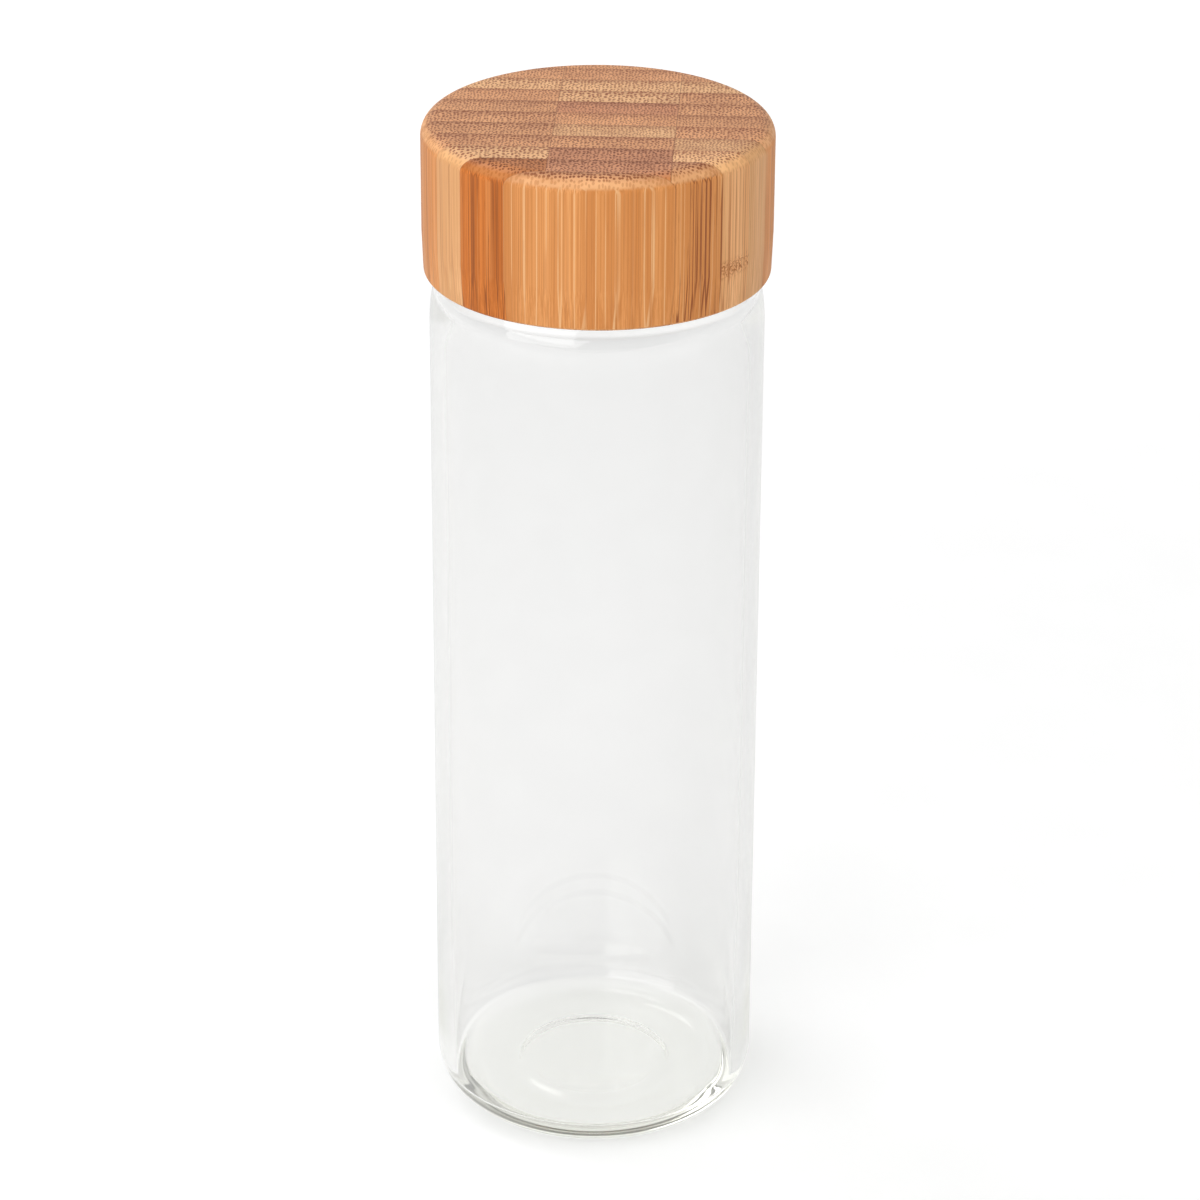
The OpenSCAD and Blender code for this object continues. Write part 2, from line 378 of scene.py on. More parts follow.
@dataclass
class GlassBody:
    """The tall glass body, with its base, shoulder, neck and thread."""

    body_r: float = 35.0
    side_wall: float = 3.3
    shoulder_z: float = 184.0
    heel_r: float = 11.0
    shoulder_r: float = 40.0  # the shoulder's wide arc, then its edge
    edge_r: float = 5.0
    edge_c: tuple[float, float] = (28.8, 193.086)
    turn_a: float = 15.0468  # degrees that the wide arc turns before the edge takes over
    neck_r: float = 29.3
    mouth_r: float = 26.3
    rim_z: float = 216.586
    rim_edge_r: float = 0.9
    inner_r: float = 6.0  # the inside of the shoulder: hollow arc, then round arc into the throat
    throat_r: float = 4.0
    base_t: float = 7.0
    floor_edge_r: float = 1.0
    rise: tuple[float, float, float] = (9.0, 28.0, 2.2)  # radius of its top, radius of its foot, height
    punt: tuple[float, float, float] = (13.5, 18.0, 0.8)  # the same of the hollow under the base
    thread: HelixRidge = HelixRidge(wall_r=29.3, height=1.7, start_z=206.506, start_turn=0.0, turns=1.4)
    facets: int = 240
    neck_rows: int = 72  # fine enough to carry the thread

    def outline(self) -> Outline:
        """Draws the outline from the hollow under the base, up the outside, and down the inside.

        Returns:
            The outline, with both ends on the axis.
        """
        punt_r, punt_foot, punt_h = self.punt
        rise_r, rise_foot, rise_h = self.rise
        punt_a = 2 * math.degrees(math.atan(punt_h / (punt_foot - punt_r)))
        rise_a = 2 * math.degrees(math.atan(rise_h / (rise_foot - rise_r)))
        punt_arc = punt_h / 2 / (1 - on_circle(punt_a).x)
        rise_arc = rise_h / 2 / (1 - on_circle(rise_a).x)
        shoulder_top = self.edge_c[1] + self.edge_r
        neck_turn = math.degrees(math.acos((self.neck_r - self.edge_c[0]) / self.edge_r))
        cavity_r = self.body_r - self.side_wall
        inner_span = self.inner_r + self.throat_r
        inner_a = math.degrees(math.acos(1 - (cavity_r - self.mouth_r) / inner_span))
        inner_z = shoulder_top - inner_span * math.sin(math.radians(inner_a))

        o = Outline(0.0, punt_h)
        o.line(punt_r, punt_h, steps=4)
        o.arc((punt_r, punt_h - punt_arc), -punt_a, steps=12)
        o.arc((punt_foot, punt_arc), punt_a, steps=12)
        o.line(self.body_r - self.heel_r, 0.0, steps=2)
        o.arc((self.body_r - self.heel_r, self.heel_r), QUARTER, steps=32)
        o.line(self.body_r, self.shoulder_z, steps=4)
        o.arc((self.body_r - self.shoulder_r, self.shoulder_z), self.turn_a, steps=12)
        o.arc(self.edge_c, neck_turn - self.turn_a, steps=20)
        o.line(self.neck_r, self.rim_z - self.rim_edge_r, self.neck_rows)
        o.arc((self.neck_r - self.rim_edge_r, self.rim_z - self.rim_edge_r), QUARTER, steps=8)
        o.line(self.mouth_r + self.rim_edge_r, self.rim_z)
        o.arc((self.mouth_r + self.rim_edge_r, self.rim_z - self.rim_edge_r), QUARTER, steps=8)
        o.line(self.mouth_r, shoulder_top, steps=2)
        o.arc((self.mouth_r + self.throat_r, shoulder_top), inner_a, steps=10)
        o.arc((cavity_r - self.inner_r, inner_z), -inner_a, steps=14)
        o.line(cavity_r, self.base_t + self.floor_edge_r, steps=4)
        o.arc((cavity_r - self.floor_edge_r, self.base_t + self.floor_edge_r), -QUARTER, steps=10)
        o.line(rise_foot, self.base_t, steps=3)
        o.arc((rise_foot, self.base_t + rise_arc), -rise_a, steps=12)
        o.arc((rise_r, self.base_t + rise_h - rise_arc), rise_a, steps=12)
        return o.line(0.0, self.base_t + rise_h, steps=4)

    def build(self, material: bpy.types.Material) -> None:
        """Turns the body, raises its thread and puts it in its place.

        Args:
            material: The glass.
        """
        bm = self.outline().turned(self.facets)
        self.thread.raise_on(bm)
        piece = finished(bm, "glass_body", material, sharp=50.0)
        place(piece, "canister", "clear_glass", "glass_canister")


# ---------------------------------------------------------------- liner and seal


@dataclass(frozen=True)
class Polypropylene:
    """White polypropylene, injection moulded: milky and satin, with a fine mould grain."""

    low: str = "#e3e3dd"
    high: str = "#efefeb"
    grain: Grain = grain_of(0.5, detail=2.0)
    grain_depth: float = 0.008
    cloud: Grain = grain_of(12.0, detail=2.0)
    cloud_step: Step = Step(0.3, 0.7)
    roughness: Step = Step(0.3, 0.7, 0.33, 0.45)

    def material(self) -> bpy.types.Material:
        """Builds the material.

        Returns:
            The material.
        """
        m = Nodes(bpy.data.materials.new("white_polypropylene"))
        at = m.add("TexCoord")["Object"]
        grain = self.grain.over(m, at)[0]
        cloud = self.cloud.over(m, at)[0]
        share = m.add("MapRange", cloud, *self.cloud_step, **SMOOTHLY)[0]
        tones = {SHARE: share, UNDER: linear(self.low), OVER: linear(self.high)}
        colour = m.add("Mix", inputs=tones, **IN_COLOUR)[MIXED]
        bsdf = m.add(
            "BsdfPrincipled",
            inputs={
                "Base Color": colour,
                "Roughness": m.add("MapRange", cloud, *self.roughness, **SMOOTHLY)[0],
                "IOR": 1.49,
                "Subsurface Weight": 0.2,
                "Subsurface Scale": 0.002,
                "Normal": m.add("Bump", inputs={"Height": grain, "Distance": self.grain_depth * MM})[0],
            },
        )[0]
        m.add("OutputMaterial", bsdf)
        return m.owner


@dataclass(frozen=True)
class Silicone:
    """Translucent white silicone, pressed in a mould: soft, matt and slightly dusty."""

    low: str = "#dcddda"
    high: str = "#e4e5e2"
    dust: Grain = grain_of(0.8, detail=3.0)
    dust_depth: float = 0.006
    dust_step: Step = Step(0.35, 0.65)
    roughness: Step = Step(0.3, 0.7, 0.52, 0.68)

    def material(self) -> bpy.types.Material:
        """Builds the material.

        Returns:
            The material.
        """
        m = Nodes(bpy.data.materials.new("white_silicone"))
        dust = self.dust.over(m, m.add("TexCoord")["Object"])[0]
        share = m.add("MapRange", dust, *self.dust_step, **SMOOTHLY)[0]
        tones = {SHARE: share, UNDER: linear(self.low), OVER: linear(self.high)}
        colour = m.add("Mix", inputs=tones, **IN_COLOUR)[MIXED]
        bsdf = m.add(
            "BsdfPrincipled",
            inputs={
                "Base Color": colour,
                "Roughness": m.add("MapRange", dust, *self.roughness, **SMOOTHLY)[0],
                "IOR": 1.41,
                "Subsurface Weight": 0.3,
                "Subsurface Scale": 0.003,
                "Normal": m.add("Bump", inputs={"Height": dust, "Distance": self.dust_depth * MM})[0],
            },
        )[0]
        m.add("OutputMaterial", bsdf)
        return m.owner


@dataclass
class LinerAndSeal:
    """The moulded cup in the lid, with its thread and centring rib, and the flat ring on the rim."""

    skirt_z: float = 198.086
    ceiling_z: float = 218.686
    top_z: float = 220.186
    inner_r: float = 31.5
    outer_r: float = 33.2
    rib: tuple[float, float] = (24.35, 25.35)
    rib_h: float = 1.2
    edge_r: float = 0.25
    seal: tuple[float, float] = (25.5, 30.1)
    seal_z: tuple[float, float] = (216.736, 218.536)
    seal_edge_r: float = 0.4
    thread: HelixRidge = HelixRidge(wall_r=31.5, height=-1.7, start_z=202.656, start_turn=0.5, turns=1.2)
    facets: int = 240

    def liner_outline(self) -> Outline:
        """Draws the cup from the middle of its ceiling round its skirt to the middle of its top.

        Returns:
            The outline, with both ends on the axis.
        """
        e = self.edge_r
        rib_z = self.ceiling_z - self.rib_h
        o = Outline(0.0, self.ceiling_z)
        o.line(self.rib[0], self.ceiling_z, steps=3)
        o.line(self.rib[0], rib_z + e)
        o.arc((self.rib[0] + e, rib_z + e), QUARTER, steps=4)
        o.line(self.rib[1] - e, rib_z)
        o.arc((self.rib[1] - e, rib_z + e), QUARTER, steps=4)
        o.line(self.rib[1], self.ceiling_z)
        o.line(self.inner_r, self.ceiling_z, steps=2)
        o.line(self.inner_r, self.skirt_z + e, steps=80)
        o.arc((self.inner_r + e, self.skirt_z + e), QUARTER, steps=4)
        o.line(self.outer_r - e, self.skirt_z)
        o.arc((self.outer_r - e, self.skirt_z + e), QUARTER, steps=4)
        o.line(self.outer_r, self.top_z - e, steps=2)
        o.arc((self.outer_r - e, self.top_z - e), QUARTER, steps=4)
        return o.line(0.0, self.top_z, steps=3)

    def seal_outline(self) -> Outline:
        """Draws the ring's section.

        Returns:
            The outline, which ends where it starts.
        """
        e = self.seal_edge_r
        (low_r, high_r), (low_z, high_z) = self.seal, self.seal_z
        o = Outline(low_r + e, low_z)
        o.line(high_r - e, low_z, steps=2)
        o.arc((high_r - e, low_z + e), QUARTER, steps=6)
        o.line(high_r, high_z - e)
        o.arc((high_r - e, high_z - e), QUARTER, steps=6)
        o.line(low_r + e, high_z, steps=2)
        o.arc((low_r + e, high_z - e), QUARTER, steps=6)
        o.line(low_r, low_z + e)
        return o.arc((low_r + e, low_z + e), QUARTER, steps=6)

    def build(self, cup: bpy.types.Material, ring: bpy.types.Material) -> None:
        """Turns both pieces and puts them in their places.

        Args:
            cup: Material of the liner.
            ring: Material of the seal.
        """
        bm = self.liner_outline().turned(self.facets)
        self.thread.raise_on(bm)
        place(finished(bm, "thread_liner_cup", cup, sharp=35.0), "lid", "moulded_liner", "thread_liner")
        bm = self.seal_outline().turned(self.facets)
        place(finished(bm, "silicone_ring", ring, sharp=35.0), "seal", "silicone_seal", "seal_ring")


# ---------------------------------------------------------------- bamboo lid


class Shade(Enum):
    """Slots of the record that the slats belong to."""

    LIGHT = "bamboo_light"
    MEDIUM = "bamboo_medium"
    DARK = "bamboo_dark"


@dataclass(frozen=True)
class Bamboo:
    """Carbonised bamboo slats, glued side by side, turned, sanded and lightly oiled.

    The fibres stand upright. The top shows their cut ends as dark dots, close towards the skin side
    of each slat and sparse towards its inner side. The side shows them as fine upright streaks, and
    takes the oil's warm colour. Grains count in waves per millimetre: across, deep and up the slat.
    """

    name: str
    end_ground: str
    end_fibre: str
    slant_ground: str
    side_ground: str
    side_dark: str
    side_deep: str
    side_pale: str
    glue: str = "#7a4a30"
    roughness: float = 0.45
    dot_roughness: float = 0.1
    sheen: float = 0.28  # oiled wood is duller than varnished wood
    fibre_depth: float = 0.012
    # How far the surface leans: from where a cut counts as slanting, and where the side begins.
    slanting: Step = Step(0.98, 0.6, 0.0, 0.7)
    upright: Step = Step(0.22, 0.5)
    # The cut ends. Steps across the slat count in millimetres from its skin side.
    wander: Grain = Grain((0.3, 0.3, 0.02), detail=1.0)
    dot_disorder: float = 0.55
    dot_reach: Step = Step(0.0, 6.0, 0.34, 0.25)  # radius of a dot as a share of the dots' pitch
    dot_unlike: float = 0.08
    dot_edge: Step = Step(0.06, -0.06)
    dot_fade: Step = Step(0.1, 0.6, 1.0, 0.45)  # how much of their contrast is left at a slant
    cloud: Grain = Grain((0.12, 0.25, 0.05), detail=3.0, roughness=0.6)
    cloud_step: Step = Step(0.3, 0.75, 0.0, 0.35)
    end_skin: Step = Step(2.5, 0.0, 0.0, 0.35)
    # The side: broad bands, fine fibres, lines that come and go, and short dark ticks.
    bands: Grain = Grain((0.3, 0.3, 0.006))
    band_step: Step = Step(0.38, 0.66, 0.0, 0.7)
    side_skin: Step = Step(1.6, 0.0, 0.0, 0.3)
    fine: Grain = Grain((4.0, 4.0, 0.012), detail=3.0, roughness=0.75)
    fine_step: Step = Step(0.4, 0.62, 0.0, 0.8)
    fade: Grain = Grain((0.5, 0.5, 0.03), detail=1.0)
    deep_fade: Step = Step(0.4, 0.6)
    pale_fade: Step = Step(0.62, 0.45, 0.15, 1.0)
    deep_threads: tuple[float, float] = (1.1, 0.13)  # bundles in a millimetre, share that a line fills
    pale_threads: tuple[float, float] = (0.5, 0.065)
    thread_core: float = 0.3  # share of a line's width that is solid
    ticks: Grain = Grain((3.5, 3.5, 0.12))
    tick_step: Step = Step(0.64, 0.74, 0.0, 0.7)
    relief: Grain = Grain((4.0, 4.0, 0.02))
    # The node's swirl, and the glue lines, in millimetres.
    node_reach: Step = Step(2.6, 0.6)
    swirl: Grain = Grain((0.9, 0.9, 0.5), detail=3.0, distortion=1.6)
    swirl_rings: Step = Step(0.055, 0.02)
    end_glue: Step = Step(0.16, 0.05, 0.0, 0.5)
    row_glue: Step = Step(0.12, 0.04, 0.0, 0.22)

    def end_grain(self, m: Nodes, slat: Socket, across: Socket, slant: Socket) -> tuple[Socket, Socket]:
        """Adds the look of the cut fibre ends, which takes the oil's colour where they are cut at a slant.

        Args:
            m: The material's nodes.
            slat: Place in the slat, in millimetres.
            across: Distance from the slat's skin side, in millimetres.
            slant: How far the cut leans from flat, from 0 to 1.

        Returns:
            The colour and the dots' mask.
        """
        look = m.add("Attribute", attribute_name="slat_look")["Vector"]
        _, contrast, pitch = m.add("SeparateXYZ", look)
        moved = m.add("VectorMath", slat, self.wander.over(m, slat)["Color"], operation="ADD")[0]
        per_mm = m.add("Math", 1.0, pitch, operation="DIVIDE")[0]
        cell = {"Vector": moved, "Scale": per_mm, "Randomness": self.dot_disorder}
        cells = m.add("TexVoronoi", inputs=cell, voronoi_dimensions="2D")
        unlike = m.add("SeparateXYZ", cells["Color"])[0]
        reach = m.add("MapRange", across, *self.dot_reach, **SMOOTHLY)[0]
        reach = m.add("Math", reach, m.add("Math", unlike, self.dot_unlike, operation="MULTIPLY")[0])[0]
        beyond = m.add("Math", cells["Distance"], reach, operation="SUBTRACT")[0]
        dots = m.add("MapRange", beyond, *self.dot_edge, **SMOOTHLY)[0]
        fibres = {SHARE: slant, UNDER: linear(self.end_fibre), OVER: linear(self.side_dark)}
        flesh = {SHARE: slant, UNDER: linear(self.end_ground), OVER: linear(self.slant_ground)}
        fibre, ground = (m.add("Mix", inputs=pair, **IN_COLOUR)[MIXED] for pair in (fibres, flesh))
        cloud = self.cloud.over(m, slat)[0]
        for value, step in ((cloud, self.cloud_step), (across, self.end_skin)):
            share = m.add("MapRange", value, *step, **SMOOTHLY)[0]
            ground = m.add("Mix", inputs={SHARE: share, UNDER: ground, OVER: fibre}, **IN_COLOUR)[MIXED]
        faded = m.add("MapRange", slant, *self.dot_fade, **SMOOTHLY)[0]
        clear = m.add("Math", contrast, faded, operation="MULTIPLY")[0]
        share = m.add("Math", dots, clear, operation="MULTIPLY")[0]
        return m.add("Mix", inputs={SHARE: share, UNDER: ground, OVER: fibre}, **IN_COLOUR)[MIXED], dots

    def threads(self, m: Nodes, slat: Socket, threads: tuple[float, float]) -> Socket:
        """Adds thin upright lines where the side cuts the borders between bundles of fibres.

        Args:
            m: The material's nodes.
            slat: Place in the slat, in millimetres.
            threads: Bundles in a millimetre, and the share of a bundle that a line fills.

        Returns:
            The lines' mask.
        """
        per_mm, width = threads
        cell = {"Vector": slat, "Scale": per_mm}
        bundles = m.add("TexVoronoi", inputs=cell, voronoi_dimensions="2D", feature="DISTANCE_TO_EDGE")
        return m.add("MapRange", bundles["Distance"], width, self.thread_core * width, **SMOOTHLY)[0]

    def node_mark(self, m: Nodes, slat: Socket, node: Socket) -> Socket:
        """Adds the swirled mark of a node across the fibres.

        Args:
            m: The material's nodes.
            slat: Place in the slat, in millimetres.
            node: Height of the node, or 0 where the slat has none.

        Returns:
            The mark's mask.
        """
        height = m.add("SeparateXYZ", slat)[2]
        off = m.add("Math", m.add("Math", height, node, operation="SUBTRACT")[0], operation="ABSOLUTE")[0]
        near = m.add("MapRange", off, *self.node_reach, **SMOOTHLY)[0]
        rings = m.add("Math", self.swirl.over(m, slat)[0], 0.5, operation="SUBTRACT")[0]
        rings = m.add("Math", rings, operation="ABSOLUTE")[0]
        drawn = m.add("MapRange", rings, *self.swirl_rings, **SMOOTHLY)[0]
        return m.add("Math", drawn, near, operation="MULTIPLY")[0]

    def side_grain(self, m: Nodes, slat: Socket, across: Socket) -> Socket:
        """Adds the look of the fibres along the side.

        Args:
            m: The material's nodes.
            slat: Place in the slat, in millimetres.
            across: Distance from the slat's skin side, in millimetres.

        Returns:
            The colour.
        """
        lines = m.add("Attribute", attribute_name="slat_lines")["Vector"]
        pale, dark, node = m.add("SeparateXYZ", lines)
        grains = (self.bands, self.fine, self.fade, self.ticks)
        bands, fine, fade, ticks = (grain.over(m, slat)[0] for grain in grains)
        colour = linear(self.side_ground)
        for value, step in ((bands, self.band_step), (across, self.side_skin), (fine, self.fine_step)):
            share = m.add("MapRange", value, *step, **SMOOTHLY)[0]
            darker = {SHARE: share, UNDER: colour, OVER: linear(self.side_dark)}
            colour = m.add("Mix", inputs=darker, **IN_COLOUR)[MIXED]
        deep_fade = m.add("MapRange", fade, *self.deep_fade, **SMOOTHLY)[0]
        deep = m.add("Math", self.threads(m, slat, self.deep_threads), deep_fade, operation="MULTIPLY")[0]
        pale_fade = m.add("MapRange", fade, *self.pale_fade, **SMOOTHLY)[0]
        light = m.add("Math", self.threads(m, slat, self.pale_threads), pale_fade, operation="MULTIPLY")[0]
        short = m.add("MapRange", ticks, *self.tick_step, **SMOOTHLY)[0]
        layers = ((deep, dark, self.side_deep), (light, pale, self.side_pale), (short, dark, self.side_deep))
        for mask, strength, ink in layers:
            share = m.add("Math", mask, strength, operation="MULTIPLY")[0]
            inked = {SHARE: share, UNDER: colour, OVER: linear(ink)}
            colour = m.add("Mix", inputs=inked, **IN_COLOUR)[MIXED]
        mark = {SHARE: self.node_mark(m, slat, node), UNDER: colour, OVER: linear(self.side_deep)}
        return m.add("Mix", inputs=mark, **IN_COLOUR)[MIXED]

    def glue_lines(self, m: Nodes, across: Socket) -> Socket:
        """Adds the glue lines at the joints with the neighbours.

        Args:
            m: The material's nodes.
            across: Distance from the slat's skin side, in millimetres.

        Returns:
            The lines' mask.
        """
        edges = m.add("Attribute", attribute_name="slat_joints")["Vector"]
        left, right, front = m.add("SeparateXYZ", edges)
        ends = m.add("Math", left, right, operation="MINIMUM")[0]
        rows = m.add("Math", front, across, operation="MINIMUM")[0]
        ends = m.add("MapRange", ends, *self.end_glue, **SMOOTHLY)[0]
        rows = m.add("MapRange", rows, *self.row_glue, **SMOOTHLY)[0]
        return m.add("Math", ends, rows, operation="MAXIMUM")[0]

    def material(self) -> bpy.types.Material:
        """Builds the material.

        Returns:
            The material.
        """
        m = Nodes(bpy.data.materials.new(self.name))
        slat = m.add("Attribute", attribute_name="slat")["Vector"]
        across = m.add("SeparateXYZ", slat)[1]
        look = m.add("Attribute", attribute_name="slat_look")["Vector"]
        tone = m.add("SeparateXYZ", look)[0]
        up = m.add("SeparateXYZ", m.add("NewGeometry")["Normal"])[2]
        steep = m.add("Math", up, operation="ABSOLUTE")[0]
        slant = m.add("MapRange", steep, *self.slanting, **SMOOTHLY)[0]
        end, dots = self.end_grain(m, slat, across, slant)
        side = self.side_grain(m, slat, across)
        share = m.add("MapRange", steep, *self.upright, **SMOOTHLY)[0]
        colour = m.add("Mix", inputs={SHARE: share, UNDER: side, OVER: end}, **IN_COLOUR)[MIXED]
        glued = {SHARE: self.glue_lines(m, across), UNDER: colour, OVER: linear(self.glue)}
        colour = m.add("Mix", inputs=glued, **IN_COLOUR)[MIXED]
        dull = m.add("Math", dots, self.dot_roughness, operation="MULTIPLY")[0]
        relief = m.add("Math", self.relief.over(m, slat)[0], dots, operation="SUBTRACT")[0]
        bsdf = m.add(
            "BsdfPrincipled",
            inputs={
                "Base Color": m.add("HueSaturation", inputs={"Value": tone, "Color": colour})[0],
                "Roughness": m.add("Math", dull, self.roughness)[0],
                "IOR": 1.45,
                "Specular IOR Level": self.sheen,
                "Normal": m.add("Bump", inputs={"Height": relief, "Distance": self.fibre_depth * MM})[0],
            },
        )[0]
        m.add("OutputMaterial", bsdf)
        return m.owner


# Colours of a side: its ground, its dark fibres, its deep lines and its pale lines.
SIDE_LIGHT = ("#f0b883", "#d69a63", "#a3602f", "#f9d49c")
SIDE_MEDIUM = ("#e9a262", "#cd8243", "#96522a", "#f7cd9a")
SIDE_DARK = ("#da8038", "#b46020", "#7c3c16", "#e3a669")


def bamboo_shades() -> dict[str, bpy.types.Material]:
    """Makes the shades of bamboo.

    Returns:
        Their materials, by the laminate's letters.
    """
    # Each with its cut end, the end's fibres, its slanting cut, and then the colours of its side.
    shades = {
        "l": Bamboo("bamboo_light", "#ebb987", "#92563a", "#f6bd80", *SIDE_LIGHT),
        "m": Bamboo("bamboo_medium", "#e0a475", "#834a31", "#f5bb83", *SIDE_MEDIUM),
        "d": Bamboo("bamboo_dark", "#cd8f68", "#733f2a", "#d28544", *SIDE_DARK),
        "a": Bamboo("bamboo_amber", "#c67f4d", "#6e3a1c", "#c87c3a", *SIDE_DARK),
    }
    return {letter: bamboo.material() for letter, bamboo in shades.items()}


SLOTS = {"l": Shade.LIGHT, "m": Shade.MEDIUM, "d": Shade.DARK, "a": Shade.DARK}
FIGURES = {"f": (0.85, 0.7), "s": (0.95, 0.78), "c": (1.0, 0.9)}  # contrast of the dots, their pitch in mm
LINES = {  # strength of the side's pale lines and of its dark ones, from plain to streaky; n has the node
    "p": (0.55, 0.2),
    "q": (0.25, 0.35),
    "b": (0.2, 0.7),
    "k": (0.3, 1.0),
    "n": (0.25, 0.6),
}
SLAT_APART = 97.0  # millimetres between the slats' places in the grain, so that no two look the same
NO_JOINT = 99.0  # millimetres to a joint that isn't there


@dataclass
class BambooLid:
    """The laminated lid: a block of glued slats, turned outside and bored for the liner."""

    lid_r: float = 36.4
    lid_z: float = 195.766
    top_z: float = 228.186
    bore_r: float = 33.3
    bore_top_z: float = 220.186
    top_edge_r: float = 3.4
    lower_edge_r: float = 0.7
    taper: float = 0.3
    taper_h: float = 9.0
    strip_d: float = 7.0
    first_joint: float = 30.9
    column_joints: tuple[float, float] = (-8.7, 16.2)
    row_turn: float = -3.0
    facets: int = 360
    # One string for each row from the back, one letter for each column: shade, figure, tone and lines.
    laminate: tuple[str, ...] = ("mm-", "mmm", "lll", "mlm", "mdm", "mmm", "mlm", "mml", "ldl", "adm", "-m-")
    figure: tuple[str, ...] = ("ff-", "fff", "sss", "fcs", "ffs", "sff", "sfs", "ssf", "css", "sss", "-s-")
    # Row 8's left slat has a darker tone and row 9's right slat a lighter one than their own colour. This is
    # painted shade against the lamp light on the lid's far left, and painted light on the lid's right side.
    tones: tuple[str, ...] = ("55-", "452", "542", "632", "192", "380", "016", "330", "369", "471", "-2-")
    lines: tuple[str, ...] = ("pq-", "kqb", "qqk", "bqq", "qqp", "pqb", "kqq", "bqq", "qqn", "bqk", "-p-")
    tone_low: float = 0.955
    tone_step: float = 0.014
    node_z: float = 205.0
    columns: tuple[str, ...] = ("left", "middle", "right")

    def outline(self) -> Outline:
        """Draws the block's outline from the middle of its bore's end to the middle of its top.

        Returns:
            The outline, with both ends on the axis.
        """
        lower_r = self.lid_r - self.taper
        e = self.lower_edge_r
        o = Outline(0.0, self.bore_top_z)
        o.line(self.bore_r, self.bore_top_z)
        o.line(self.bore_r, self.lid_z, steps=2)
        o.line(lower_r - e, self.lid_z)
        o.arc((lower_r - e, self.lid_z + e), QUARTER, steps=6)
        o.line(self.lid_r, self.lid_z + self.taper_h, steps=2)
        o.line(self.lid_r, self.top_z - self.top_edge_r, steps=2)
        o.arc((self.lid_r - self.top_edge_r, self.top_z - self.top_edge_r), QUARTER, steps=12)
        return o.line(0.0, self.top_z)

    def cell(self, row: int, column: int) -> tuple[float, float, float, float]:
        """Gives a slat's borders in the frame of the rows.

        Args:
            row: Row from the back, from 0.
            column: Column from the left, from 0.

        Returns:
            Left, right, front and back. A border that runs past the lid is infinite.
        """
        letters = self.laminate[row]
        left = -math.inf if column == 0 or letters[column - 1] == "-" else self.column_joints[column - 1]
        last = column == len(self.columns) - 1
        right = math.inf if last or letters[column + 1] == "-" else self.column_joints[column]
        back = math.inf if row == 0 else self.first_joint - (row - 1) * self.strip_d
        front = -math.inf if row == len(self.laminate) - 1 else self.first_joint - row * self.strip_d
        return left, right, front, back

    def cut(self, block: bmesh.types.BMesh, row: int, column: int) -> bmesh.types.BMesh:
        """Cuts one slat out of the block.

        Args:
            block: The whole lid.
            row: Row from the back, from 0.
            column: Column from the left, from 0.

        Returns:
            The slat as a closed mesh.
        """
        bm = block.copy()
        turn = Matrix.Rotation(math.radians(self.row_turn), 3, "Z")
        left, right, front, back = self.cell(row, column)
        borders = ((left, (-1, 0, 0)), (right, (1, 0, 0)), (front, (0, -1, 0)), (back, (0, 1, 0)))
        for border, outwards in borders:
            if math.isinf(border):
                continue
            normal = turn @ Vector(outwards)
            bmesh.ops.bisect_plane(
                bm,
                geom=bm.verts[:] + bm.edges[:] + bm.faces[:],
                dist=ON_CUT,
                plane_co=normal * border * sum(outwards),
                plane_no=normal,
                clear_outer=True,
            )
            bmesh.ops.holes_fill(bm, edges=[e for e in bm.edges if e.is_boundary], sides=0)
        bmesh.ops.recalc_face_normals(bm, faces=bm.faces[:])
        return bm

    def write_grain(self, bm: bmesh.types.BMesh, row: int, column: int) -> None:
        """Writes each point's place in its slat, and the slat's look, as attributes; two slats' tones hold
        painted shade and light.

        Args:
            bm: The slat, in millimetres.
            row: Row from the back, from 0.
            column: Column from the left, from 0.
        """
        slat = bm.verts.layers.float_vector.new("slat")
        look = bm.verts.layers.float_vector.new("slat_look")
        joints = bm.verts.layers.float_vector.new("slat_joints")
        threads = bm.verts.layers.float_vector.new("slat_lines")
        back_turn = Matrix.Rotation(-math.radians(self.row_turn), 3, "Z")
        left, right, front, _ = self.cell(row, column)
        skin = self.first_joint - (row - 1) * self.strip_d
        number = row * len(self.columns) + column
        tone = self.tone_low + self.tone_step * int(self.tones[row][column])
        letter = self.lines[row][column]
        pale, dark = LINES[letter]
        node = self.node_z if letter == "n" else 0.0
        contrast, pitch = FIGURES[self.figure[row][column]]
        for vert in bm.verts:
            own = back_turn @ vert.co
            vert[slat] = Vector((own.x + SLAT_APART * number, skin - own.y, own.z))
            vert[look] = Vector((tone, contrast, pitch))
            vert[threads] = Vector((pale, dark, node))
            gaps = (own.x - left, right - own.x, own.y - front)
            vert[joints] = Vector([min(gap, NO_JOINT) for gap in gaps])

    def build(self, materials: dict[str, bpy.types.Material]) -> None:
        """Turns the block, cuts its slats and puts each in its place.

        Args:
            materials: The shades of bamboo, by the laminate's letters.
        """
        block = self.outline().turned(self.facets)
        for row, letters in enumerate(self.laminate):
            for column, letter in enumerate(letters):
                if letter == "-":
                    continue
                bm = self.cut(block, row, column)
                self.write_grain(bm, row, column)
                where = f"{row + 1}_{self.columns[column]}"
                piece = finished(bm, f"bamboo_slat_{where}", materials[letter], sharp=35.0)
                place(piece, "lid", SLOTS[letter].value, f"lid_strip_{where}")
        block.free()


# ---------------------------------------------------------------- studio


